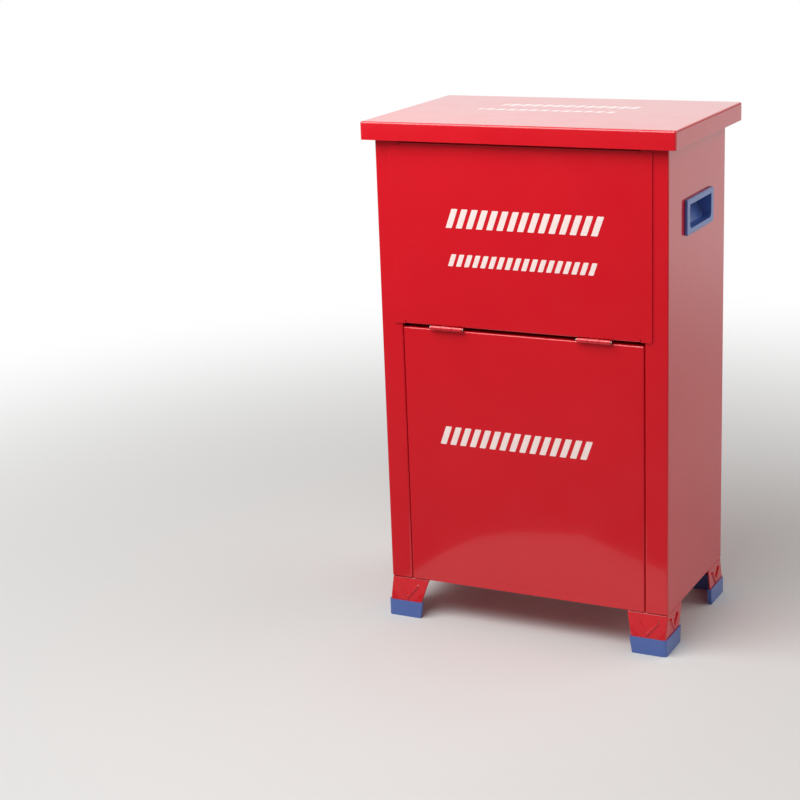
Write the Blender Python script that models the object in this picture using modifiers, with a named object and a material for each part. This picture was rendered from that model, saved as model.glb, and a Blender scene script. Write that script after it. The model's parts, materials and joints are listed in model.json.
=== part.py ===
# Floor-standing steel box for two fire extinguishers, with a rear-hinged lid, a drop-down front flap,
# a fixed lower front panel, four pressed corner legs in plastic shoes and a grip cup in each side.
# Metres, +Z up, front towards -Y, origin on the floor under the middle of the lid.
import math

import bmesh
import bpy
from mathutils import Matrix, Vector

# Overall sizes
BODY_WIDTH = 0.350
BODY_DEPTH = 0.200
OVERALL_HEIGHT = 0.600
LEG_HEIGHT = 0.048

# Sheet steel
STEEL = 0.0012
BEND_RADIUS = 0.0020
SEAT_GAP = 0.0003
BEND_RELIEF = 0.004

# Lid
LID_OVERHANG_SIDE = 0.012
LID_OVERHANG_FRONT = 0.012
LID_OVERHANG_REAR = 0.024
LID_FLANGE = 0.021
LID_BEND_RADIUS = 0.0025

# Side panels and back
STILE_WIDTH = 0.027
STILE_LIP = 0.010
REAR_RETURN = 0.015
TOP_RETURN = 0.015

# Lower front panel and floor
PANEL_GAP = 0.0008
PANEL_RETURN = 0.016
FLOOR_FLANGE = 0.012

# Front flap
SPLIT_HEIGHT = 0.3633
SPLIT_GAP = 0.0044
FLAP_OVERLAP = 0.009
RUNNING_GAP = 0.005
FLAP_TOP_GAP = 0.0022
FLAP_RETURN = 0.016
RELIEF_SLIT = 0.0008

# Flap hinges
FLAP_HINGE_INSET = 0.085
FLAP_HINGE_LENGTH = 0.040
FLAP_HINGE_PROUD = 0.0033
FLAP_LEAF_REACH = 0.017

# Lid hinges
LID_HINGE_INSET = 0.075
LID_HINGE_LENGTH = 0.050
LID_HINGE_DROP = 0.005
BODY_LEAF_HEIGHT = 0.015
LID_LEAF_GRIP = 0.013

# Leaves, knuckles and pins of all the hinges
LEAF = 0.0010
PIN_RADIUS = 0.0010
PIN_HEAD_RADIUS = 0.0018
PIN_HEAD_LENGTH = 0.0008
BARREL_RADIUS = 0.0026
KNUCKLE_CLEARANCE = 0.0004

# Legs
LEG_STEEL = 0.0015
LEG_WIDTH = 0.049
LEG_TAPER = 0.0075
LEG_FLARE = 0.007
LEG_TUCK = 0.0012
LEG_PLATE_CORNER = 0.018
LEG_BEND_RADIUS = 0.0024
RIB_RADIUS = 0.0019
RIB_SPREAD = 0.0125
RIB_DROP = 0.0085
RIB_LIFT = 0.0038

# Foot caps
CAP_HEIGHT = 0.020
CAP_SOLE = 0.003
CAP_WALL = 0.0012
CAP_INNER_WALL = 0.0018
CAP_END_TAPER = 0.003

# Grip cups
CUP_DROP = 0.105
CUP_BEZEL_LENGTH = 0.094
CUP_BEZEL_HEIGHT = 0.040
CUP_BEZEL_PROUD = 0.0035
CUP_BEZEL_EDGE = 0.001
CUP_OPENING_LENGTH = 0.076
CUP_OPENING_HEIGHT = 0.027
CUP_WALL = 0.0022
CUP_DEPTH_TOP = 0.024
CUP_DEPTH_BOTTOM = 0.010
CUP_BEZEL_CORNER = 0.003
CUP_UPPER_CORNER = 0.0012
CUP_LOWER_CORNER = 0.006
CUP_BACK_RADIUS = 0.002

# Worked out from the sizes above
HALF_WIDTH = BODY_WIDTH / 2
BODY_Y = (LID_OVERHANG_FRONT - LID_OVERHANG_REAR) / 2
FRONT_Y = BODY_Y - BODY_DEPTH / 2
REAR_Y = BODY_Y + BODY_DEPTH / 2
BODY_BOTTOM = LEG_HEIGHT
BODY_TOP = OVERALL_HEIGHT - STEEL - SEAT_GAP
LID_BOTTOM = OVERALL_HEIGHT - LID_FLANGE
INNER_HALF = HALF_WIDTH - STEEL
OPENING_HALF = HALF_WIDTH - STILE_WIDTH
BEND_CLEARANCE = BEND_RADIUS - STEEL + SEAT_GAP
BACK_FACE = REAR_Y - STEEL - SEAT_GAP
PANEL_HALF = OPENING_HALF - PANEL_GAP
PANEL_TOP = SPLIT_HEIGHT - SPLIT_GAP / 2
FLAP_HALF = OPENING_HALF + FLAP_OVERLAP
FLAP_FACE = FRONT_Y - SEAT_GAP - STEEL
FLAP_BOTTOM = SPLIT_HEIGHT + SPLIT_GAP / 2
FLAP_TOP = LID_BOTTOM - FLAP_TOP_GAP
FLAP_RETURN_HALF = OPENING_HALF - RUNNING_GAP
FLAP_AXIS = Vector((0, FRONT_Y - FLAP_HINGE_PROUD, SPLIT_HEIGHT))
FLAP_HINGE_CENTRE = HALF_WIDTH - FLAP_HINGE_INSET
FLAP_LEAF_OUTER = SPLIT_GAP / 2 - SEAT_GAP
LID_AXIS = Vector((0, BACK_FACE + SEAT_GAP + BARREL_RADIUS, LID_BOTTOM - LID_HINGE_DROP))
LID_HINGE_CENTRE = HALF_WIDTH - LID_HINGE_INSET
LID_FLANGE_INNER_Y = REAR_Y + LID_OVERHANG_REAR - STEEL
BORE_RADIUS = PIN_RADIUS + SEAT_GAP
LEG_TOP = BODY_BOTTOM - SEAT_GAP
LEG_FOLD = CAP_HEIGHT + SEAT_GAP
LEG_FOOT = CAP_SOLE + SEAT_GAP
LEG_END = LEG_WIDTH - LEG_TAPER
CUP_FACE = HALF_WIDTH + CUP_BEZEL_PROUD
CUP_CENTRE_HEIGHT = OVERALL_HEIGHT - CUP_DROP
BEND_SEGMENTS = 3
ROUND_SIDES = 16
RIB_SIDES = 8
THROUGH = 0.002
SAME_PLACE = SEAT_GAP / 10
SMOOTH_BELOW = math.radians(25)
FOLD_ABOVE = math.radians(30)
SIDES = {"left": -1, "right": 1}
ENDS = {"front": -1, "rear": 1}


def clear_scene():
    for item in list(bpy.data.objects):
        bpy.data.objects.remove(item, do_unlink=True)


def make_collection(name):
    collection = bpy.data.collections.new(name)
    bpy.context.scene.collection.children.link(collection)
    return collection


def make_material(name, colour, roughness, metallic):
    material = bpy.data.materials.new(name)
    material.use_nodes = True
    shader = material.node_tree.nodes["Principled BSDF"]
    shader.inputs["Base Color"].default_value = (*colour, 1.0)
    shader.inputs["Roughness"].default_value = roughness
    shader.inputs["Metallic"].default_value = metallic
    return material


def make_object(name, shape, collection, material=None):
    """Put a finished bmesh into the scene as one named object."""
    mesh = bpy.data.meshes.new(name)
    shape.to_mesh(mesh)
    shape.free()
    if material:
        mesh.materials.append(material)
    mesh.shade_smooth()
    mesh.set_sharp_from_angle(angle=SMOOTH_BELOW)
    item = bpy.data.objects.new(name, mesh)
    collection.objects.link(item)
    return item


def combine(target, tool, operation):
    """Join a hidden helper solid to a target, or cut it away."""
    tool.hide_render = True
    tool.display_type = "WIRE"
    modifier = target.modifiers.new(tool.name, "BOOLEAN")
    modifier.operation = operation
    modifier.solver = "EXACT"
    modifier.object = tool


def sheet_grid(place, columns, rows, missing=()):
    """Start an open sheet from the lines where it is folded or notched, facing columns x rows."""
    shape = bmesh.new()
    points = [[shape.verts.new(place(column, row)) for row in rows] for column in columns]
    for column in range(len(columns) - 1):
        for row in range(len(rows) - 1):
            if (column, row) in missing:
                continue
            corners = (points[column][row], points[column + 1][row],
                       points[column + 1][row + 1], points[column][row + 1])
            shape.faces.new(corners)
    loose = [vert for vert in shape.verts if not vert.link_faces]
    bmesh.ops.delete(shape, geom=loose, context="VERTS")
    return shape


def fold_edges(shape, chosen, move):
    """Fold a flange out from the free edges whose ends all pass the test."""
    edges = [edge for edge in shape.edges if edge.is_boundary and all(chosen(v.co) for v in edge.verts)]
    result = bmesh.ops.extrude_edge_only(shape, edges=edges)["geom"]
    verts = [item for item in result if isinstance(item, bmesh.types.BMVert)]
    bmesh.ops.translate(shape, verts=verts, vec=move)


def near(value, target):
    return abs(value - target) < SAME_PLACE


def round_bends(shape, radius):
    """Give every fold of an open sheet its bend radius."""
    shape.normal_update()
    bends = [edge for edge in shape.edges
             if len(edge.link_faces) == 2 and edge.calc_face_angle() > FOLD_ABOVE]
    bmesh.ops.bevel(shape, geom=bends, offset=radius, offset_type="OFFSET", segments=BEND_SEGMENTS,
                    profile=0.5, affect="EDGES", clamp_overlap=True, material=-1)


def mirror_shape(shape, x_sign, y_sign=1):
    """Turn a shape drawn for the right rear corner into the one for another side."""
    about_middle = Matrix.Translation((0, -BODY_Y, 0))
    bmesh.ops.scale(shape, vec=(x_sign, y_sign, 1), space=about_middle, verts=shape.verts)
    if x_sign * y_sign < 0:
        bmesh.ops.reverse_faces(shape, faces=shape.faces)


def solidify(item, thickness):
    modifier = item.modifiers.new("sheet thickness", "SOLIDIFY")
    modifier.thickness = thickness
    modifier.offset = -1
    modifier.use_even_offset = True
    modifier.use_quality_normals = True


def box_shape(low, high):
    shape = bmesh.new()
    low = Vector(low)
    high = Vector(high)
    size = Matrix.Diagonal((*(high - low), 1))
    bmesh.ops.create_cube(shape, size=1, matrix=Matrix.Translation((low + high) / 2) @ size)
    return shape


def move_shape(shape, place):
    bmesh.ops.translate(shape, verts=shape.verts, vec=place)


def round_edges(shape, edges, radius, segments=BEND_SEGMENTS):
    bmesh.ops.bevel(shape, geom=edges, offset=radius, offset_type="OFFSET", segments=segments,
                    profile=0.5, affect="EDGES", clamp_overlap=True, material=-1)


def edges_along(shape, axis):
    """Edges of a boxy shape that run along one axis."""
    others = [index for index in range(3) if index != axis]
    return [edge for edge in shape.edges
            if all(near(edge.verts[0].co[i], edge.verts[1].co[i]) for i in others)]


def round_cup_corners(shape, grow):
    """Round a grip opening: nearly square corners above, wide ones below."""
    for above, radius in ((True, CUP_UPPER_CORNER), (False, CUP_LOWER_CORNER)):
        edges = [edge for edge in edges_along(shape, 0)
                 if (edge.verts[0].co.z > CUP_CENTRE_HEIGHT) == above
                 and (edge.verts[0].co - edge.verts[1].co).length > SAME_PLACE]
        round_edges(shape, edges, radius + grow)


def rod_shape(start, end, radius, sides):
    """Solid round bar between two points."""
    start = Vector(start)
    end = Vector(end)
    shape = bmesh.new()
    turn = (end - start).to_track_quat("Z", "Y").to_matrix().to_4x4()
    bmesh.ops.create_cone(shape, cap_ends=True, segments=sides, radius1=radius, radius2=radius,
                          depth=(end - start).length, matrix=Matrix.Translation((start + end) / 2) @ turn)
    return shape


def make_side_panel(word, side, parts, cutters, paint):
    columns = (FRONT_Y, FRONT_Y + BEND_RELIEF, REAR_Y - BEND_RELIEF, REAR_Y)
    rows = (BODY_BOTTOM, BODY_TOP - BEND_RELIEF, BODY_TOP)
    shape = sheet_grid(lambda y, z: (HALF_WIDTH, y, z), columns, rows, missing=((0, 1), (2, 1)))
    fold_edges(shape, lambda p: near(p.y, FRONT_Y), (-STILE_WIDTH, 0, 0))
    fold_edges(shape, lambda p: near(p.x, OPENING_HALF), (0, STILE_LIP, 0))
    fold_edges(shape, lambda p: near(p.y, REAR_Y), (-REAR_RETURN, 0, 0))
    fold_edges(shape, lambda p: near(p.z, BODY_TOP), (-TOP_RETURN, 0, 0))
    round_bends(shape, BEND_RADIUS)
    mirror_shape(shape, side)
    panel = make_object("side_panel_" + word, shape, parts, paint)
    solidify(panel, STEEL)

    half_length = CUP_OPENING_LENGTH / 2 + CUP_WALL + SEAT_GAP
    half_height = CUP_OPENING_HEIGHT / 2 + CUP_WALL + SEAT_GAP
    hole = box_shape((INNER_HALF - THROUGH, BODY_Y - half_length, CUP_CENTRE_HEIGHT - half_height),
                     (HALF_WIDTH + THROUGH, BODY_Y + half_length, CUP_CENTRE_HEIGHT + half_height))
    round_cup_corners(hole, CUP_WALL + SEAT_GAP)
    mirror_shape(hole, side)
    combine(panel, make_object("cup hole " + word, hole, cutters), "DIFFERENCE")


def make_back_panel(parts, paint):
    half = INNER_HALF - BEND_CLEARANCE
    return_half = HALF_WIDTH - TOP_RETURN - BEND_RELIEF
    columns = (half, return_half, -return_half, -half)
    rows = (BODY_BOTTOM, BODY_TOP - BEND_RELIEF, BODY_TOP)
    shape = sheet_grid(lambda x, z: (x, BACK_FACE, z), columns, rows, missing=((0, 1), (2, 1)))
    fold_edges(shape, lambda p: near(p.z, BODY_TOP), (0, -TOP_RETURN, 0))
    round_bends(shape, BEND_RADIUS)
    solidify(make_object("back_panel", shape, parts, paint), STEEL)


def make_floor_panel(parts, paint):
    half = INNER_HALF - SEAT_GAP
    front_half = PANEL_HALF - STEEL - BEND_CLEARANCE
    front = FRONT_Y + STEEL + SEAT_GAP
    shoulder = FRONT_Y + PANEL_RETURN + PANEL_GAP
    rear = BACK_FACE - STEEL - SEAT_GAP
    columns = (front, shoulder, rear)
    rows = (-half, -front_half, front_half, half)
    shape = sheet_grid(lambda y, x: (x, y, BODY_BOTTOM), columns, rows, missing=((0, 0), (0, 2)))
    edges_up = (0, 0, FLOOR_FLANGE)
    fold_edges(shape, lambda p: near(p.y, front), edges_up)
    fold_edges(shape, lambda p: (near(abs(p.x), half) or near(p.y, rear)) and near(p.z, BODY_BOTTOM)
               and p.y > shoulder - SEAT_GAP, edges_up)
    round_bends(shape, BEND_RADIUS)
    solidify(make_object("floor_panel", shape, parts, paint), STEEL)


def make_lower_front_panel(parts, paint):
    columns = (-PANEL_HALF, PANEL_HALF)
    rows = (BODY_BOTTOM, PANEL_TOP)
    shape = sheet_grid(lambda x, z: (x, FRONT_Y, z), columns, rows)
    edges = [edge for edge in shape.edges if not all(near(v.co.z, BODY_BOTTOM) for v in edge.verts)]
    result = bmesh.ops.extrude_edge_only(shape, edges=edges)["geom"]
    verts = [item for item in result if isinstance(item, bmesh.types.BMVert)]
    bmesh.ops.translate(shape, verts=verts, vec=(0, PANEL_RETURN, 0))
    round_bends(shape, BEND_RADIUS)
    solidify(make_object("lower_front_panel", shape, parts, paint), STEEL)


def make_flap_panel(parts, paint):
    slit = FLAP_RETURN_HALF + RELIEF_SLIT
    columns = (-FLAP_HALF, -slit, -FLAP_RETURN_HALF, FLAP_RETURN_HALF, slit, FLAP_HALF)
    rows = (FLAP_BOTTOM, FLAP_BOTTOM + BEND_RELIEF, FLAP_TOP - BEND_RELIEF, FLAP_TOP)
    missing = ((1, 0), (3, 0), (1, 2), (3, 2))
    shape = sheet_grid(lambda x, z: (x, FLAP_FACE, z), columns, rows, missing)
    for height in (FLAP_BOTTOM, FLAP_TOP):
        fold_edges(shape, lambda p: near(p.z, height) and abs(p.x) < slit - SEAT_GAP, (0, FLAP_RETURN, 0))
    round_bends(shape, BEND_RADIUS)
    panel = make_object("flap_panel", shape, parts, paint)
    solidify(panel, STEEL)
    return panel


def make_lid_pan(parts, paint):
    low = (-HALF_WIDTH - LID_OVERHANG_SIDE, FRONT_Y - LID_OVERHANG_FRONT, LID_BOTTOM)
    high = (HALF_WIDTH + LID_OVERHANG_SIDE, REAR_Y + LID_OVERHANG_REAR, OVERALL_HEIGHT)
    shape = box_shape(low, high)
    underside = [face for face in shape.faces if near(face.calc_center_median().z, LID_BOTTOM)]
    bmesh.ops.delete(shape, geom=underside, context="FACES_ONLY")
    round_bends(shape, LID_BEND_RADIUS)
    pan = make_object("lid_pan", shape, parts, paint)
    solidify(pan, STEEL)
    return pan


def leg_shape():
    """Pressed leg drawn for the right rear corner: a top plate, a flush side wall and a flared rear wall."""
    corner_x = HALF_WIDTH
    corner_y = REAR_Y - LEG_TUCK
    shape = bmesh.new()
    outline = ((0, 0), (-LEG_WIDTH, 0), (-LEG_WIDTH, -LEG_PLATE_CORNER),
               (-LEG_PLATE_CORNER, LEG_TUCK - LEG_WIDTH), (0, LEG_TUCK - LEG_WIDTH))
    plate = [shape.verts.new((corner_x + x, corner_y + y, LEG_TOP)) for x, y in outline]
    shape.faces.new(plate)
    walls = [edge for edge in shape.edges
             if all(near(v.co.y, corner_y) for v in edge.verts)
             or all(near(v.co.x, corner_x) for v in edge.verts)]
    taper_below = CAP_END_TAPER * (LEG_FOLD - LEG_FOOT) / CAP_HEIGHT
    levels = ((LEG_FOLD, LEG_TUCK + LEG_FLARE, LEG_TAPER), (LEG_FOOT, 0, taper_below))
    for height, flare, taper in levels:
        result = bmesh.ops.extrude_edge_only(shape, edges=walls)["geom"]
        walls = [item for item in result if isinstance(item, bmesh.types.BMEdge)
                 and item.is_boundary and len(item.link_faces) == 1]
        new_verts = [item for item in result if isinstance(item, bmesh.types.BMVert)]
        walls = [edge for edge in walls if all(v in new_verts for v in edge.verts)]
        corner = max(new_verts, key=lambda v: v.co.x + v.co.y)
        for vert in new_verts:
            vert.co.z = height
            if vert.co.x < corner.co.x - LEG_PLATE_CORNER:
                vert.co.x += taper
            along_side = vert.co.y < corner.co.y - LEG_PLATE_CORNER
            vert.co.y += taper if along_side else flare
    return shape


def rib_shape(inset, wall):
    """V-shaped round bead of a leg's wall, drawn from the right rear corner of the body."""
    middle = -(LEG_WIDTH + LEG_END) / 4
    arm_top = LEG_TOP - RIB_DROP
    arm_foot = LEG_FOLD + RIB_LIFT
    tuck, flare = (0, 0) if wall == "side" else (LEG_TUCK, LEG_FLARE)

    def out_at(height):
        return (tuck + flare) * (LEG_TOP - height) / (LEG_TOP - LEG_FOLD) - tuck - inset

    top = Vector((RIB_SPREAD, out_at(arm_top), arm_top))
    foot = Vector((0, out_at(arm_foot), arm_foot))
    past_middle = foot + (foot - top) * (RIB_RADIUS / RIB_SPREAD)
    shape = rod_shape(top, past_middle, RIB_RADIUS, RIB_SIDES)
    everything = shape.verts[:] + shape.edges[:] + shape.faces[:]
    bmesh.ops.bisect_plane(shape, geom=everything, plane_co=(0, 0, 0), plane_no=(-1, 0, 0), clear_outer=True)
    everything = shape.verts[:] + shape.edges[:] + shape.faces[:]
    bmesh.ops.mirror(shape, geom=everything, axis="X", merge_dist=SAME_PLACE)
    bmesh.ops.recalc_face_normals(shape, faces=shape.faces)
    move_shape(shape, (middle, 0, 0))
    if wall == "side":
        swap = Matrix(((0, 1, 0), (1, 0, 0), (0, 0, 1)))
        bmesh.ops.transform(shape, matrix=swap.to_4x4(), verts=shape.verts)
        bmesh.ops.reverse_faces(shape, faces=shape.faces)
    move_shape(shape, (HALF_WIDTH, REAR_Y, 0))
    return shape


def make_leg(end_word, end, word, side, parts, cutters, paint):
    shape = leg_shape()
    round_bends(shape, LEG_BEND_RADIUS)
    mirror_shape(shape, side, end)
    name = "leg_" + end_word + "_" + word
    leg = make_object(name, shape, parts, paint)
    solidify(leg, LEG_STEEL)
    for wall in ("end", "side"):
        for label, inset, operation in (("bead", 0, "UNION"), ("groove", LEG_STEEL, "DIFFERENCE")):
            rib = rib_shape(inset, wall)
            mirror_shape(rib, side, end)
            tool = make_object(" ".join((name, wall, label)), rib, cutters)
            combine(leg, tool, operation)


def corner_prism(outer, inner, low, high, low_end, high_end, outer_radius, inner_radius):
    """Upright L-shaped bar round the right rear corner, whose arms may be longer at the top."""
    shape = bmesh.new()
    outline = ((outer.x, outer.y), (-low_end, outer.y), (-low_end, inner.y),
               (inner.x, inner.y), (inner.x, -low_end), (outer.x, -low_end))
    foot = [shape.verts.new((HALF_WIDTH + x, REAR_Y + y, low)) for x, y in outline]
    face = shape.faces.new(foot)
    result = bmesh.ops.extrude_face_region(shape, geom=[face])["geom"]
    top = [item for item in result if isinstance(item, bmesh.types.BMVert)]
    for vert in top:
        vert.co.z = high
        if near(vert.co.x, HALF_WIDTH - low_end):
            vert.co.x = HALF_WIDTH - high_end
        if near(vert.co.y, REAR_Y - low_end):
            vert.co.y = REAR_Y - high_end
    bmesh.ops.recalc_face_normals(shape, faces=shape.faces)
    for offset, radius in ((outer, outer_radius), (inner, inner_radius)):
        edges = [edge for edge in shape.edges if all(near(v.co.x, HALF_WIDTH + offset.x)
                 and near(v.co.y, REAR_Y + offset.y) for v in edge.verts)]
        round_edges(shape, edges, radius)
    return shape


def make_foot_cap(end_word, end, word, side, parts, cutters, plastic):
    slot_outer = Vector((SEAT_GAP, LEG_FLARE + SEAT_GAP))
    outer = slot_outer + Vector((CAP_WALL, CAP_WALL))
    slot_inner = Vector((0, LEG_FLARE)) - Vector((1, 1)) * (LEG_STEEL + SEAT_GAP)
    inner = slot_inner - Vector((CAP_INNER_WALL, CAP_INNER_WALL))
    arm = LEG_END + SEAT_GAP + CAP_WALL
    slope = CAP_END_TAPER / CAP_HEIGHT
    shape = corner_prism(outer, inner, 0, CAP_HEIGHT, arm - CAP_END_TAPER, arm,
                         LEG_BEND_RADIUS + SEAT_GAP + CAP_WALL, CAP_INNER_WALL)
    mirror_shape(shape, side, end)
    name = "foot_cap_" + end_word + "_" + word
    cap = make_object(name, shape, parts, plastic)

    slot_arm = LEG_END + SEAT_GAP
    slot_top = CAP_HEIGHT + THROUGH
    slot = corner_prism(slot_outer, slot_inner, CAP_SOLE, slot_top,
                        slot_arm - slope * (CAP_HEIGHT - CAP_SOLE), slot_arm + slope * THROUGH,
                        LEG_BEND_RADIUS, LEG_BEND_RADIUS - LEG_STEEL)
    mirror_shape(slot, side, end)
    combine(cap, make_object(name + " slot", slot, cutters), "DIFFERENCE")


def pocket_shape(grow, outside, depth_grow):
    """Wedge-shaped finger pocket of the right side's cup, grown by a wall for its outer skin."""
    half_length = CUP_OPENING_LENGTH / 2 + grow
    half_height = CUP_OPENING_HEIGHT / 2 + grow
    shape = box_shape((CUP_FACE - CUP_DEPTH_TOP - depth_grow, BODY_Y - half_length,
                       CUP_CENTRE_HEIGHT - half_height),
                      (outside, BODY_Y + half_length, CUP_CENTRE_HEIGHT + half_height))
    for vert in shape.verts:
        if vert.co.x < HALF_WIDTH - CUP_DEPTH_BOTTOM and vert.co.z < CUP_CENTRE_HEIGHT:
            vert.co.x = CUP_FACE - CUP_DEPTH_BOTTOM - depth_grow
    round_cup_corners(shape, grow)
    back = [edge for edge in shape.edges
            if all(v.co.x < HALF_WIDTH - CUP_DEPTH_BOTTOM / 2 for v in edge.verts)]
    round_edges(shape, back, CUP_BACK_RADIUS + grow)
    return shape


def make_handle_cup(word, side, parts, cutters, plastic):
    half_length = CUP_BEZEL_LENGTH / 2
    half_height = CUP_BEZEL_HEIGHT / 2
    bezel = box_shape((HALF_WIDTH + SEAT_GAP, BODY_Y - half_length, CUP_CENTRE_HEIGHT - half_height),
                      (CUP_FACE, BODY_Y + half_length, CUP_CENTRE_HEIGHT + half_height))
    round_edges(bezel, edges_along(bezel, 0), CUP_BEZEL_CORNER)
    rim = [edge for edge in bezel.edges if all(near(v.co.x, CUP_FACE) for v in edge.verts)]
    round_edges(bezel, rim, CUP_BEZEL_EDGE)
    mirror_shape(bezel, side)
    name = "handle_cup_" + word
    cup = make_object(name, bezel, parts, plastic)

    outside = (CUP_FACE + HALF_WIDTH) / 2
    skin = pocket_shape(CUP_WALL, outside, CUP_WALL)
    mirror_shape(skin, side)
    combine(cup, make_object(name + " pocket skin", skin, cutters), "UNION")
    hollow = pocket_shape(0, CUP_FACE + THROUGH, 0)
    mirror_shape(hollow, side)
    combine(cup, make_object(name + " pocket hollow", hollow, cutters), "DIFFERENCE")


def free_ranges(length, middle):
    """Ranges along a hinge that a leaf leaves free for the other leaf's knuckles."""
    half = length / 2
    third = length / 3
    if middle:
        return ((-half, -half + third), (half - third, half))
    return ((-half + third, half - third),)


def finish_leaf(leaf, name, place, length, middle, cutters):
    """Add the rolled barrel to a leaf, bore it for the pin and cut room for the other leaf's knuckles."""
    half = length / 2
    barrel = rod_shape((-half, 0, 0), (half, 0, 0), BARREL_RADIUS, ROUND_SIDES)
    bore = rod_shape((-half - THROUGH, 0, 0), (half + THROUGH, 0, 0), BORE_RADIUS, ROUND_SIDES)
    tools = [("barrel", barrel, "UNION"), ("bore", bore, "DIFFERENCE")]
    reach = BARREL_RADIUS + KNUCKLE_CLEARANCE
    for number, (start, stop) in enumerate(free_ranges(length, middle)):
        low = start - THROUGH if near(start, -half) else start - KNUCKLE_CLEARANCE / 2
        high = stop + THROUGH if near(stop, half) else stop + KNUCKLE_CLEARANCE / 2
        room = box_shape((low, -reach, -reach), (high, reach, reach))
        tools.append(("knuckle room " + str(number), room, "DIFFERENCE"))
    for label, shape, operation in tools:
        move_shape(shape, place)
        combine(leaf, make_object(name + " " + label, shape, cutters), operation)


def turned_pin(name, place, length, parts, bright):
    """Hinge pin turned about its own axis: a stem with a small head at both ends."""
    half = length / 2 + SEAT_GAP
    head = half + PIN_HEAD_LENGTH
    profile = ((head, 0), (head, PIN_HEAD_RADIUS), (half, PIN_HEAD_RADIUS), (half, PIN_RADIUS),
               (-half, PIN_RADIUS), (-half, PIN_HEAD_RADIUS), (-head, PIN_HEAD_RADIUS), (-head, 0))
    shape = bmesh.new()
    verts = [shape.verts.new((x, 0, radius)) for x, radius in profile]
    edges = [shape.edges.new(pair) for pair in zip(verts, verts[1:])]
    bmesh.ops.spin(shape, geom=verts + edges, cent=(0, 0, 0), axis=(1, 0, 0), angle=math.tau,
                   steps=ROUND_SIDES, use_merge=True)
    bmesh.ops.remove_doubles(shape, verts=shape.verts, dist=SAME_PLACE)
    bmesh.ops.recalc_face_normals(shape, faces=shape.faces)
    move_shape(shape, place)
    make_object(name, shape, parts, bright)


def make_flap_hinge(word, side, parts, cutters, paint, bright):
    place = FLAP_AXIS + Vector((side * FLAP_HINGE_CENTRE, 0, 0))
    half = FLAP_HINGE_LENGTH / 2
    leaves = []
    for kind, direction, middle in (("lower", -1, False), ("upper", 1, True)):
        levels = sorted((direction * FLAP_LEAF_OUTER, direction * (FLAP_LEAF_OUTER - LEAF)))
        shape = box_shape((-half, 0, levels[0]), (half, FLAP_LEAF_REACH, levels[1]))
        move_shape(shape, place)
        name = "flap_hinge_" + kind + "_leaf_" + word
        leaf = make_object(name, shape, parts, paint)
        finish_leaf(leaf, name, place, FLAP_HINGE_LENGTH, middle, cutters)
        leaves.append(leaf)
    turned_pin("flap_hinge_pin_" + word, place, FLAP_HINGE_LENGTH, parts, bright)
    return leaves[1]


def make_lid_hinge(word, side, parts, cutters, paint, bright):
    place = LID_AXIS + Vector((side * LID_HINGE_CENTRE, 0, 0))
    half = LID_HINGE_LENGTH / 2
    shape = box_shape((-half, -BARREL_RADIUS, -BODY_LEAF_HEIGHT), (half, -BARREL_RADIUS + LEAF, 0))
    move_shape(shape, place)
    name = "lid_hinge_body_leaf_" + word
    fixed = make_object(name, shape, parts, paint)
    finish_leaf(fixed, name, place, LID_HINGE_LENGTH, False, cutters)

    reach = LID_FLANGE_INNER_Y - SEAT_GAP - LID_AXIS.y
    underside = BARREL_RADIUS - LEAF
    top = LID_HINGE_DROP + LID_LEAF_GRIP
    shape = bmesh.new()
    path = [shape.verts.new((-half, y, z)) for y, z in ((0, underside), (reach, underside), (reach, top))]
    edges = [shape.edges.new(pair) for pair in zip(path, path[1:])]
    result = bmesh.ops.extrude_edge_only(shape, edges=edges)["geom"]
    verts = [item for item in result if isinstance(item, bmesh.types.BMVert)]
    bmesh.ops.translate(shape, verts=verts, vec=(LID_HINGE_LENGTH, 0, 0))
    if min(shape.faces, key=lambda f: f.calc_center_median().z).normal.z > 0:
        bmesh.ops.reverse_faces(shape, faces=shape.faces)
    round_bends(shape, BEND_RADIUS)
    move_shape(shape, place)
    name = "lid_hinge_lid_leaf_" + word
    cranked = make_object(name, shape, parts, paint)
    solidify(cranked, LEAF)
    finish_leaf(cranked, name, place, LID_HINGE_LENGTH, True, cutters)
    turned_pin("lid_hinge_pin_" + word, place, LID_HINGE_LENGTH, parts, bright)
    return cranked


def hang_on_axis(name, axis, pieces, collection):
    """Carry the pieces of a moving body on an empty that stands on its hinge axis."""
    empty = bpy.data.objects.new(name, None)
    empty.location = axis
    collection.objects.link(empty)
    for piece in pieces:
        piece.parent = empty
        piece.matrix_parent_inverse = Matrix.Translation(-axis)


def main():
    clear_scene()
    parts = make_collection("fire_extinguisher_cabinet")
    cutters = make_collection("cutters")
    paint = make_material("gloss red paint", (0.58, 0.018, 0.028), 0.22, 0.0)
    plastic = make_material("blue plastic", (0.07, 0.14, 0.42), 0.4, 0.0)
    bright = make_material("zinc plated steel", (0.55, 0.56, 0.58), 0.35, 1.0)

    make_back_panel(parts, paint)
    make_floor_panel(parts, paint)
    make_lower_front_panel(parts, paint)
    flap = [make_flap_panel(parts, paint)]
    lid = [make_lid_pan(parts, paint)]
    for word, side in SIDES.items():
        make_side_panel(word, side, parts, cutters, paint)
        make_handle_cup(word, side, parts, cutters, plastic)
        flap.append(make_flap_hinge(word, side, parts, cutters, paint, bright))
        lid.append(make_lid_hinge(word, side, parts, cutters, paint, bright))
        for end_word, end in ENDS.items():
            make_leg(end_word, end, word, side, parts, cutters, paint)
            make_foot_cap(end_word, end, word, side, parts, cutters, plastic)
    hang_on_axis("flap axis", FLAP_AXIS, flap, parts)
    hang_on_axis("lid axis", LID_AXIS, lid, parts)


main()
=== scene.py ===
import json
import math

import bmesh
import bpy
from mathutils import Matrix, Vector


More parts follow.
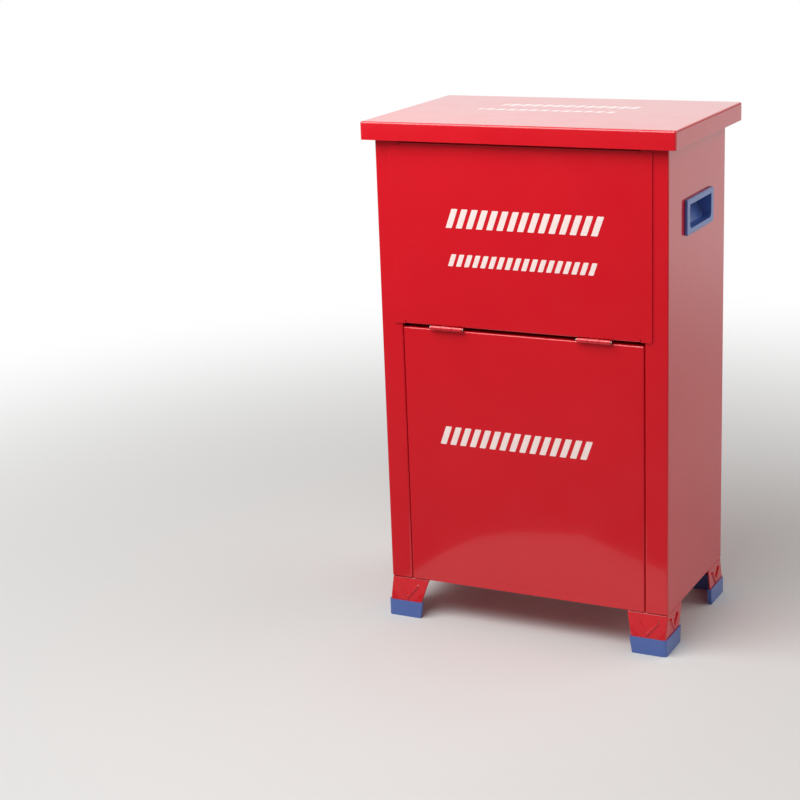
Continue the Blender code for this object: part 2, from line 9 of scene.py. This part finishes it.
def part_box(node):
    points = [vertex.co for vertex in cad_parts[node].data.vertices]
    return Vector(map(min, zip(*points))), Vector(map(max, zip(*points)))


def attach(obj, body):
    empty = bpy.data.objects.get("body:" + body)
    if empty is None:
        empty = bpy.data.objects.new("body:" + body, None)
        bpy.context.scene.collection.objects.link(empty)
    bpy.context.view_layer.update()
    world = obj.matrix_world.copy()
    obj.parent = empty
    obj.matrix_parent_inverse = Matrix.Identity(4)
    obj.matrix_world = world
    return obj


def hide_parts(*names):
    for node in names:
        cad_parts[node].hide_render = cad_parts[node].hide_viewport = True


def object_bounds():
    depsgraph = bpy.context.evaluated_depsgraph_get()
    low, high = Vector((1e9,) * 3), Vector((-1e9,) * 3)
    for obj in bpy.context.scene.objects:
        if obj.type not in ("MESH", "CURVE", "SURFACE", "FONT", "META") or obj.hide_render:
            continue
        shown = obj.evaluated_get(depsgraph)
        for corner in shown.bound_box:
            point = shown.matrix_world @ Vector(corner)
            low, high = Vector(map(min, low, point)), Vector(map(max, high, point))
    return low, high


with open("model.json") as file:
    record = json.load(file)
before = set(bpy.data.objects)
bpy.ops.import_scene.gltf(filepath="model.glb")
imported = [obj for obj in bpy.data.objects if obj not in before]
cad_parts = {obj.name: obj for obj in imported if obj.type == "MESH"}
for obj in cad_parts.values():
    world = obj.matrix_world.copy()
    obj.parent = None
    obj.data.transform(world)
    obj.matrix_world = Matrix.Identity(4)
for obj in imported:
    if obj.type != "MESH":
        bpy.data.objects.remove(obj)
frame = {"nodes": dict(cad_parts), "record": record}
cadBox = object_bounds()
nodes = frame["nodes"]
print("cabinet loaded:", len(nodes), "pieces")


# small helpers; lengths are in metres unless a name ends in Mm

newPiecesRoundBelow = math.radians(35)       # an edge that turns less than this is shaded round


def linearColour(hexText):
    # sRGB hex to the linear values that Blender's colour sockets take
    channels = [int(hexText[i:i + 2], 16) / 255 for i in (1, 3, 5)]
    return [c / 12.92 if c <= 0.04045 else ((c + 0.055) / 1.055) ** 2.4 for c in channels] + [1.0]


def perMetre(millimetres):
    # texture scale that gives one feature every so many millimetres
    return 1000.0 / millimetres


def startMaterial(name):
    material = bpy.data.materials.new(name)
    material.use_nodes = True
    material.node_tree.nodes.clear()
    return material


def addNode(owner, kind, inputs=None, **settings):
    # each input is given a value or the socket that feeds it
    tree = owner.node_tree
    made = tree.nodes.new("ShaderNode" + kind)
    for name, value in settings.items():
        setattr(made, name, value)
    for socket, source in (inputs or {}).items():
        if isinstance(source, bpy.types.NodeSocket):
            tree.links.new(source, made.inputs[socket])
        else:
            made.inputs[socket].default_value = source
    return made


def addObject(name, shape, material):
    # a finished bmesh becomes an object at the origin, in one material
    mesh = bpy.data.meshes.new(name)
    shape.to_mesh(mesh)
    shape.free()
    mesh.materials.append(material)
    item = bpy.data.objects.new(name, mesh)
    bpy.context.scene.collection.objects.link(item)
    return item


def addPiece(name, shape, material, body):
    # a piece that no CAD node stands for, riding on one body
    item = addObject(name, shape, material)
    item.data.shade_smooth()
    item.data.set_sharp_from_angle(angle=newPiecesRoundBelow)
    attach(item, body)


# paint

noiseSpan = (0.3, 0.7)        # where nearly all values of a noise texture lie

enamelLook = {
    "colour": "#D81A27",
    "deepColour": "#CE1623",
    "roughness": (0.12, 0.18),
    "ior": 1.5,
    "coat": 0.6,
    "coatRoughness": 0.05,
    "cloudMm": 110.0,
    "hazeMm": 110.0 / 3,
    "orangePeelMm": 4.0,      # real peel is 1 to 3 mm across, a little coarser here so that it shows
    "orangePeelHeight": 0.000003,
    "sheetWaveMm": 130.0,
    "sheetWaveHeight": 0.00008,
}


def redEnamel(name, look, printedArea=None):
    # gloss baked enamel on sheet steel: an even deep red under a wet-looking skin,
    # with faint orange peel and the slow waves of thin sheet in what it mirrors
    material = startMaterial(name)
    coords = addNode(material, "TexCoord").outputs["Object"]
    clouds = addNode(material, "TexNoise",
                     {"Vector": coords, "Scale": perMetre(look["cloudMm"]), "Detail": 2.0})
    colour = addNode(material, "Mix",
                     {0: clouds.outputs["Fac"], 6: linearColour(look["deepColour"]),
                      7: linearColour(look["colour"])}, data_type="RGBA").outputs[2]
    if printedArea:
        colour = printOnPaint(material, coords, colour, printedArea)
    haze = addNode(material, "TexNoise",
                   {"Vector": coords, "Scale": perMetre(look["hazeMm"]), "Detail": 3.0})
    roughness = addNode(material, "MapRange",
                        {"Value": haze.outputs["Fac"], "From Min": noiseSpan[0], "From Max": noiseSpan[1],
                         "To Min": look["roughness"][0], "To Max": look["roughness"][1]})
    waves = addNode(material, "TexNoise",
                    {"Vector": coords, "Scale": perMetre(look["sheetWaveMm"]), "Detail": 1.0})
    waveBump = addNode(material, "Bump",
                       {"Height": waves.outputs["Fac"], "Strength": 1.0, "Distance": look["sheetWaveHeight"]})
    peel = addNode(material, "TexNoise",
                   {"Vector": coords, "Scale": perMetre(look["orangePeelMm"]), "Detail": 1.5})
    peelBump = addNode(material, "Bump",
                       {"Height": peel.outputs["Fac"], "Normal": waveBump.outputs["Normal"],
                        "Strength": 1.0, "Distance": look["orangePeelHeight"]})
    shader = addNode(material, "BsdfPrincipled",
                     {"Base Color": colour, "Roughness": roughness.outputs["Result"], "IOR": look["ior"],
                      "Normal": peelBump.outputs["Normal"], "Coat Weight": look["coat"],
                      "Coat Roughness": look["coatRoughness"], "Coat IOR": look["ior"],
                      "Coat Normal": peelBump.outputs["Normal"]})
    addNode(material, "OutputMaterial", {"Surface": shader.outputs["BSDF"]})
    return material


# slanted bars, the same on all three sheets

barStyle = {
    "filled": 0.6,            # share of the pitch that a bar covers
    "lean": 0.36,             # sideways shift of a bar over its height
}

lidPrint = {
    "colour": "#F6E6E2",
    "rows": ((0.045, 0.016), (0.005, 0.010)),      # middle and height of each row, across the lid
    "left": -0.095,
    "right": 0.075,
    "pitch": 0.0135,
    "depth": 0.0004,          # how far below the lid's top the print may reach
}


def printOnPaint(material, coords, paint, area):
    # rows of slanted bars printed flat on the top of the lid
    split = addNode(material, "SeparateXYZ", {"Vector": coords})
    across = split.outputs["Y"]
    shift = addNode(material, "Math", {0: across, 1: barStyle["lean"]}, operation="MULTIPLY").outputs[0]
    along = addNode(material, "Math", {0: split.outputs["X"], 1: shift}, operation="SUBTRACT").outputs[0]
    halfPitch = area["pitch"] / 2
    beat = addNode(material, "Math", {0: along, 1: halfPitch}, operation="PINGPONG").outputs[0]
    mask = addNode(material, "Math", {0: beat, 1: halfPitch * barStyle["filled"]},
                   operation="LESS_THAN").outputs[0]
    inLength = addNode(material, "Math",
                       {0: along, 1: (area["left"] + area["right"]) / 2, 2: (area["right"] - area["left"]) / 2},
                       operation="COMPARE").outputs[0]
    inRows = 0.0
    for middle, height in area["rows"]:
        inRow = addNode(material, "Math", {0: across, 1: middle, 2: height / 2}, operation="COMPARE").outputs[0]
        inRows = addNode(material, "Math", {0: inRows, 1: inRow}, operation="MAXIMUM").outputs[0]
    onTop = addNode(material, "Math", {0: split.outputs["Z"], 1: cadBox[1][2] - area["depth"]},
                    operation="GREATER_THAN").outputs[0]
    for limit in (inLength, inRows, onTop):
        mask = addNode(material, "Math", {0: mask, 1: limit}, operation="MULTIPLY").outputs[0]
    return addNode(material, "Mix", {0: mask, 6: paint, 7: linearColour(area["colour"])},
                   data_type="RGBA").outputs[2]


# plastic, plating and ink

plasticLook = {
    "colour": "#4462AB",
    "paleColour": "#4C6BB3",
    "roughness": (0.34, 0.44),
    "ior": 1.49,
    "coat": 0.7,
    "coatRoughness": 0.16,
    "coatIor": 1.5,
    "grainMm": 1.2,           # spark-eroded grain is about 0.4 mm, coarser here so that it shows
    "grainHeight": 0.000018,
    "flowMm": 45.0,
}


def mouldedPolypropylene(name, look):
    # injection-moulded polypropylene: even blue with a soft milky sheen and a fine spark-eroded grain
    material = startMaterial(name)
    coords = addNode(material, "TexCoord").outputs["Object"]
    flow = addNode(material, "TexNoise",
                   {"Vector": coords, "Scale": perMetre(look["flowMm"]), "Detail": 2.0})
    colour = addNode(material, "Mix",
                     {0: flow.outputs["Fac"], 6: linearColour(look["colour"]),
                      7: linearColour(look["paleColour"])}, data_type="RGBA").outputs[2]
    grain = addNode(material, "TexNoise",
                    {"Vector": coords, "Scale": perMetre(look["grainMm"]), "Detail": 2.0})
    roughness = addNode(material, "MapRange",
                        {"Value": grain.outputs["Fac"], "From Min": noiseSpan[0], "From Max": noiseSpan[1],
                         "To Min": look["roughness"][0], "To Max": look["roughness"][1]})
    bump = addNode(material, "Bump",
                   {"Height": grain.outputs["Fac"], "Strength": 1.0, "Distance": look["grainHeight"]})
    shader = addNode(material, "BsdfPrincipled",
                     {"Base Color": colour, "Roughness": roughness.outputs["Result"], "IOR": look["ior"],
                      "Normal": bump.outputs["Normal"], "Coat Weight": look["coat"],
                      "Coat Roughness": look["coatRoughness"], "Coat IOR": look["coatIor"],
                      "Coat Normal": bump.outputs["Normal"]})
    addNode(material, "OutputMaterial", {"Surface": shader.outputs["BSDF"]})
    return material


platingLook = {
    "colour": "#C6C9CC",
    "yellowed": "#BDBBB0",
    "roughness": (0.24, 0.40),
    "spangleMm": 2.5,
}


def zincPlate(name, look):
    # bright zinc plating on a drawn steel pin: pale grey metal, slightly blotched, with soft glints
    material = startMaterial(name)
    coords = addNode(material, "TexCoord").outputs["Object"]
    spangle = addNode(material, "TexNoise",
                      {"Vector": coords, "Scale": perMetre(look["spangleMm"]), "Detail": 3.0})
    colour = addNode(material, "Mix",
                     {0: spangle.outputs["Fac"], 6: linearColour(look["colour"]),
                      7: linearColour(look["yellowed"])}, data_type="RGBA").outputs[2]
    roughness = addNode(material, "MapRange",
                        {"Value": spangle.outputs["Fac"], "From Min": noiseSpan[0], "From Max": noiseSpan[1],
                         "To Min": look["roughness"][0], "To Max": look["roughness"][1]})
    shader = addNode(material, "BsdfPrincipled",
                     {"Base Color": colour, "Roughness": roughness.outputs["Result"], "Metallic": 1.0})
    addNode(material, "OutputMaterial", {"Surface": shader.outputs["BSDF"]})
    return material


inkLook = {
    "colour": "#FBEDE9",
    "thinColour": "#F4D8D3",
    "roughness": 0.42,
    "ior": 1.48,
    "coverMm": 6.4,
    "meshMm": 1.6,            # the screen's threads are about 0.3 mm apart, coarser here so that they show
    "meshHeight": 0.000006,
}


def screenInk(name, look):
    # screen-printed off-white ink: flat and opaque, a little rosy where the red shows through
    material = startMaterial(name)
    coords = addNode(material, "TexCoord").outputs["Object"]
    cover = addNode(material, "TexNoise",
                    {"Vector": coords, "Scale": perMetre(look["coverMm"]), "Detail": 3.0})
    colour = addNode(material, "Mix",
                     {0: cover.outputs["Fac"], 6: linearColour(look["colour"]),
                      7: linearColour(look["thinColour"])}, data_type="RGBA").outputs[2]
    threads = addNode(material, "TexNoise",
                      {"Vector": coords, "Scale": perMetre(look["meshMm"]), "Detail": 1.0})
    bump = addNode(material, "Bump",
                   {"Height": threads.outputs["Fac"], "Strength": 1.0, "Distance": look["meshHeight"]})
    shader = addNode(material, "BsdfPrincipled",
                     {"Base Color": colour, "Roughness": look["roughness"], "IOR": look["ior"],
                      "Normal": bump.outputs["Normal"]})
    addNode(material, "OutputMaterial", {"Surface": shader.outputs["BSDF"]})
    return material


bodyEnamel = redEnamel("gloss red enamel on steel", enamelLook)
lidEnamel = redEnamel("gloss red enamel printed", enamelLook, lidPrint)
hingeLook = dict(enamelLook, roughness=(0.16, 0.24), orangePeelMm=2.0)
hingeEnamel = redEnamel("gloss red enamel on hinges", hingeLook)
bluePlastic = mouldedPolypropylene("moulded blue polypropylene", plasticLook)
pinPlating = zincPlate("zinc plated steel", platingLook)
whiteInk = screenInk("off-white screen ink", inkLook)
print("materials ready")


# finished copies of the CAD pieces: same shape, with the small radii that sheared and moulded edges have

edgeFinish = {                # finish and edge radius for each of the record's material slots
    "red_paint": (bodyEnamel, 0.00022),
    "red_hinge": (hingeEnamel, 0.00012),
    "blue_plastic": (bluePlastic, 0.00035),
    "zinc_pin": (pinPlating, 0.00015),
}
edgeWork = {
    "mergeWithin": 1e-6,      # joins the loose triangles of a CAD mesh
    "flatWithin": 0.5,        # degrees between triangles that become one face again
    "sharpFrom": 38,          # degrees of turn from which an edge gets its radius
    "segments": 2,
    "flatWeight": 100,        # the most there is: flat faces keep their shading right up to the radius
}


def finishedCopy(name, material, radius, body):
    shape = bmesh.new()
    shape.from_mesh(nodes[name].data)
    bmesh.ops.remove_doubles(shape, verts=shape.verts, dist=edgeWork["mergeWithin"])
    bmesh.ops.dissolve_limit(shape, angle_limit=math.radians(edgeWork["flatWithin"]),
                             use_dissolve_boundaries=False, verts=shape.verts, edges=shape.edges)
    for face in shape.faces:
        face.smooth = True
    item = addObject(name + "_finished", shape, material)
    bevel = item.modifiers.new("edge radius", "BEVEL")
    bevel.width = radius
    bevel.segments = edgeWork["segments"]
    bevel.limit_method = "ANGLE"
    bevel.angle_limit = math.radians(edgeWork["sharpFrom"])
    weighted = item.modifiers.new("flat faces stay flat", "WEIGHTED_NORMAL")
    weighted.keep_sharp = True
    weighted.weight = edgeWork["flatWeight"]
    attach(item, body)
    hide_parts(name)


bodyOf = {piece: body for body, pieces in frame["record"]["behaviour"]["bodies"].items() for piece in pieces}
slotOf = {part["node"]: part["material_slot"] for part in frame["record"]["subparts"]}
for nodeName in sorted(nodes):
    finish, edgeRadius = edgeFinish[slotOf[nodeName]]
    if nodeName == "lid_pan":
        finish = lidEnamel    # the same paint, with the lid's print in it
    finishedCopy(nodeName, finish, edgeRadius, bodyOf[nodeName])
print("finished copies made")


# rows of slanted white bars, screen-printed on the flap and the lower panel

signBars = {
    "flap_bars_upper": {"sheet": "flap_panel", "body": "flap", "left": -0.084, "right": 0.104,
                        "middle": 0.492, "height": 0.022, "pitch": 0.0125},
    "flap_bars_lower": {"sheet": "flap_panel", "body": "flap", "left": -0.084, "right": 0.096,
                        "middle": 0.444, "height": 0.014, "pitch": 0.0100},
    "panel_bars": {"sheet": "lower_front_panel", "body": "cabinet", "left": -0.100, "right": 0.094,
                   "middle": 0.234, "height": 0.022, "pitch": 0.0125},
}
printing = {
    "ink": 0.0001,            # thicker than real ink, so that its edge shows
    "clearance": 0.00005,     # keeps the ink off the paint, so that the two do not flicker
    "corner": 0.0008,
    "cornerSegments": 3,
}


def printedBars(name, row):
    ink = printing["ink"]
    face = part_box(row["sheet"])[0][1] - printing["clearance"]
    width = row["pitch"] * barStyle["filled"]
    count = int((row["right"] - row["left"] - width) / row["pitch"]) + 1
    shape = bmesh.new()
    for index in range(count):
        start = row["left"] + index * row["pitch"]
        size = Matrix.Diagonal((width, ink, row["height"], 1.0))
        place = Matrix.Translation((start + width / 2, face - ink / 2, row["middle"]))
        bmesh.ops.create_cube(shape, size=1.0, matrix=place @ size)
    for vert in shape.verts:
        vert.co.x += barStyle["lean"] * (vert.co.z - row["middle"])
    corners = [edge for edge in shape.edges
               if abs(edge.verts[0].co.y - edge.verts[1].co.y) > ink / 2]
    bmesh.ops.bevel(shape, geom=corners, offset=printing["corner"], offset_type="OFFSET",
                    segments=printing["cornerSegments"], profile=0.5, affect="EDGES", material=-1)
    addPiece(name, shape, whiteInk, row["body"])


for barName, barRow in signBars.items():
    printedBars(barName, barRow)
print("printed bars made")


# fixings: spot welds down the back seams, dome rivets through the lid hinges

fixings = {
    "sides": 20,
    "rings": 10,              # even, so that one ring is the widest: the head ends there
    "clearance": 0.00005,     # between the back of a head and the sheet's face
    "weldRadius": 0.0026,
    "weldHeight": 0.00018,
    "weldCount": 7,           # on each seam
    "weldInset": 0.0075,
    "weldEnds": 0.045,        # from the ends of a side panel to its last welds
    "rivetRadius": 0.0020,
    "rivetHeight": 0.0009,
    "rivetSpread": 0.017,
    "rivetUp": 0.0045,        # above the lower end of a leaf on the back
    "rivetDown": 0.006,       # below the upper end of a leaf in the lid
    "leafGap": 0.0003,        # the last two are as in the CAD
    "leafThickness": 0.0010,
}


def addDome(shape, centre, outward, radius, height):
    # a low round head: a sphere pressed flat and turned outwards, its back half merged into one point
    # so that it closes with a flat fan of triangles, which comes out the same on every run
    centre = Vector(centre)
    outward = Vector(outward)
    turn = outward.to_track_quat("Z", "Y").to_matrix().to_4x4()
    place = Matrix.Translation(centre) @ turn @ Matrix.Diagonal((radius, radius, height, 1.0))
    made = bmesh.ops.create_uvsphere(shape, u_segments=fixings["sides"], v_segments=fixings["rings"],
                                     radius=1.0, matrix=place)["verts"]
    behind = [vert for vert in made if (vert.co - centre).dot(outward) < -height / fixings["rings"]]
    bmesh.ops.pointmerge(shape, verts=behind, merge_co=centre)


def backWelds(sizes):
    shape = bmesh.new()
    for side, inwards in (("left", 1), ("right", -1)):
        low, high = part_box("side_panel_" + side)
        seam = (low[0] if side == "left" else high[0]) + inwards * sizes["weldInset"]
        bottom = low[2] + sizes["weldEnds"]
        top = high[2] - sizes["weldEnds"]
        for index in range(sizes["weldCount"]):
            height = bottom + (top - bottom) * index / (sizes["weldCount"] - 1)
            addDome(shape, (seam, high[1] + sizes["clearance"], height), (0, 1, 0),
                    sizes["weldRadius"], sizes["weldHeight"])
    addPiece("back_spot_welds", shape, bodyEnamel, "cabinet")


def hingeRivets(sizes):
    fixed = bmesh.new()
    carried = bmesh.new()
    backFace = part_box("back_panel")[1][1]
    for side in ("left", "right"):
        low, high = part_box("lid_hinge_body_leaf_" + side)
        middle = (low[0] + high[0]) / 2
        bodyFace = backFace + sizes["leafGap"] + sizes["leafThickness"] + sizes["clearance"]
        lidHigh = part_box("lid_hinge_lid_leaf_" + side)[1]
        lidFace = lidHigh[1] - sizes["leafThickness"] - sizes["clearance"]
        for step in (-1, 0, 1):
            x = middle + step * sizes["rivetSpread"]
            addDome(fixed, (x, bodyFace, low[2] + sizes["rivetUp"]), (0, 1, 0),
                    sizes["rivetRadius"], sizes["rivetHeight"])
            addDome(carried, (x, lidFace, lidHigh[2] - sizes["rivetDown"]), (0, -1, 0),
                    sizes["rivetRadius"], sizes["rivetHeight"])
    addPiece("hinge_rivets_body", fixed, hingeEnamel, "cabinet")
    addPiece("hinge_rivets_lid", carried, hingeEnamel, "lid")


backWelds(fixings)
hingeRivets(fixings)
print("fixings made")


# studio: pale floor, dark cloth for the mirrors, soft lamps, camera at the photo's angle

studio = {
    "floorColour": "#D9D8D6",
    "mirroredColour": "#C2C1BF",  # the same paper as the paint mirrors it, a shade darker
    "floorRadius": 7.0,
    "floorSides": 96,
    "fibreMm": 3.0,
    "fibreStrength": 0.3,
    "fibreHeight": 0.00005,
    "seenFade": (0.35, 1.7),      # where the camera sees the paper go over into the white backdrop
    "mirroredFade": (0.9, 2.4),   # the same for what the paint mirrors
    "backdropSeen": 1.0,
    "backdropMirrored": 0.72,
    "worldLight": 0.32,
    "aim": (0.0, 0.0, 0.55),
    "key": {"power": 16.8, "place": (-0.35, -0.66, 1.26), "size": (1.3, 0.85)},
    "fill": {"power": 12.2, "place": (1.4, 0.75, 1.38), "size": (2.0, 1.5)},
    "rear": {"power": 14.0, "place": (-0.9, 2.9, 1.15), "size": (3.4, 2.0)},
    # dark cloth flat on the floor in front, its corners in turn; the notch leaves some pale floor to mirror
    "flagColour": "#545454",
    "flagOutline": ((-3.0, -0.20), (-0.212, -0.20), (-0.204, -0.31), (-0.185, -0.375), (-0.148, -0.41),
                    (-0.055, -0.435), (0.03, -0.38), (0.09, -0.35), (3.0, -0.35), (3.0, -6.4), (-3.0, -6.4)),
    "flagLift": 0.001,
}


def paperFloor(name, look):
    # seamless matt studio paper: pale and even, fading into the white backdrop with distance
    material = startMaterial(name)
    coords = addNode(material, "TexCoord").outputs["Object"]
    distance = addNode(material, "VectorMath", {0: coords}, operation="LENGTH").outputs["Value"]
    path = addNode(material, "LightPath")
    share = 0.0
    strength = 0.0
    for ray, fade, backdrop in (("Is Camera Ray", look["seenFade"], look["backdropSeen"]),
                                ("Is Glossy Ray", look["mirroredFade"], look["backdropMirrored"])):
        faded = addNode(material, "MapRange", {"Value": distance, "From Min": fade[0], "From Max": fade[1]},
                        interpolation_type="SMOOTHSTEP").outputs["Result"]
        share = addNode(material, "Math", {0: faded, 1: path.outputs[ray], 2: share},
                        operation="MULTIPLY_ADD").outputs[0]
        strength = addNode(material, "Math", {0: path.outputs[ray], 1: backdrop, 2: strength},
                           operation="MULTIPLY_ADD").outputs[0]
    fibres = addNode(material, "TexNoise",
                     {"Vector": coords, "Scale": perMetre(look["fibreMm"]), "Detail": 3.0})
    bump = addNode(material, "Bump",
                   {"Height": fibres.outputs["Fac"], "Strength": look["fibreStrength"],
                    "Distance": look["fibreHeight"]})
    colour = addNode(material, "Mix",
                     {0: path.outputs["Is Glossy Ray"], 6: linearColour(look["floorColour"]),
                      7: linearColour(look["mirroredColour"])}, data_type="RGBA").outputs[2]
    paper = addNode(material, "BsdfDiffuse", {"Color": colour, "Normal": bump.outputs["Normal"]})
    white = addNode(material, "Emission", {"Color": (1, 1, 1, 1), "Strength": strength})
    blend = addNode(material, "MixShader", {0: share, 1: paper.outputs[0], 2: white.outputs[0]})
    addNode(material, "OutputMaterial", {"Surface": blend.outputs[0]})
    return material


def buildFloor(look):
    shape = bmesh.new()
    bmesh.ops.create_circle(shape, cap_ends=True, segments=look["floorSides"], radius=look["floorRadius"])
    floor = addObject("paper_floor", shape, paperFloor("seamless studio paper", look))


def buildFlag(look):
    # seen only in mirrors: the front sheets reflect it, so they stay deep red with a pale patch low down
    cloth = startMaterial("black studio cloth")
    shader = addNode(cloth, "BsdfDiffuse", {"Color": linearColour(look["flagColour"])})
    addNode(cloth, "OutputMaterial", {"Surface": shader.outputs[0]})
    shape = bmesh.new()
    shape.faces.new([shape.verts.new((x, y, look["flagLift"])) for x, y in reversed(look["flagOutline"])])
    flag = addObject("black_flag", shape, cloth)
    flag.visible_camera = False
    flag.visible_diffuse = False
    flag.visible_transmission = False
    flag.visible_shadow = False


def buildWorld(look):
    world = bpy.data.worlds.new("studio surround")
    bpy.context.scene.world = world
    world.use_nodes = True
    world.node_tree.nodes.clear()
    path = addNode(world, "LightPath")
    soft = addNode(world, "Background", {"Color": (1, 1, 1, 1), "Strength": look["worldLight"]})
    white = addNode(world, "Background", {"Color": (1, 1, 1, 1), "Strength": look["backdropSeen"]})
    blend = addNode(world, "MixShader",
                    {0: path.outputs["Is Camera Ray"], 1: soft.outputs[0], 2: white.outputs[0]})
    addNode(world, "OutputWorld", {"Surface": blend.outputs[0]})


def addSoftbox(name, look, aim):
    lamp = bpy.data.lights.new(name, "AREA")
    lamp.shape = "RECTANGLE"
    lamp.size, lamp.size_y = look["size"]
    lamp.energy = look["power"]
    item = bpy.data.objects.new(name, lamp)
    bpy.context.scene.collection.objects.link(item)
    item.location = look["place"]
    item.rotation_euler = (Vector(look["place"]) - Vector(aim)).to_track_quat("Z", "Y").to_euler()
    item.visible_camera = False


buildFloor(studio)
buildFlag(studio)
buildWorld(studio)
for lampName in ("key", "fill", "rear"):
    addSoftbox(lampName + " softbox", studio[lampName], studio["aim"])
print("studio ready")

view = {
    "yaw": 27.264,                # this and the next two in degrees
    "pitch": 16.213,
    "roll": -2.256,
    "distance": 2.204,
    "target": (-0.1554, -0.106, 0.2711),
    "lensMm": 84.18,
    "sensorMm": 36.0,
    "reach": 50.0,
}


def placeCamera(look):
    yaw = math.radians(look["yaw"])
    pitch = math.radians(look["pitch"])
    roll = math.radians(look["roll"])
    back = Vector((math.sin(yaw) * math.cos(pitch), -math.cos(yaw) * math.cos(pitch), math.sin(pitch)))
    right = Vector((0, 0, 1)).cross(back).normalized()
    up = back.cross(right)
    level = Matrix((right, up, back)).transposed().to_4x4()
    data = bpy.data.cameras.new("photo camera")
    data.lens = look["lensMm"]
    data.sensor_width = look["sensorMm"]
    data.sensor_fit = "HORIZONTAL"
    data.clip_end = look["reach"]
    camera = bpy.data.objects.new("photo camera", data)
    bpy.context.scene.collection.objects.link(camera)
    place = Vector(look["target"]) + back * look["distance"]
    camera.matrix_world = Matrix.Translation(place) @ level @ Matrix.Rotation(roll, 4, "Z")
    bpy.context.scene.camera = camera


placeCamera(view)
bpy.context.scene.view_settings.view_transform = "Standard"
print("camera placed")
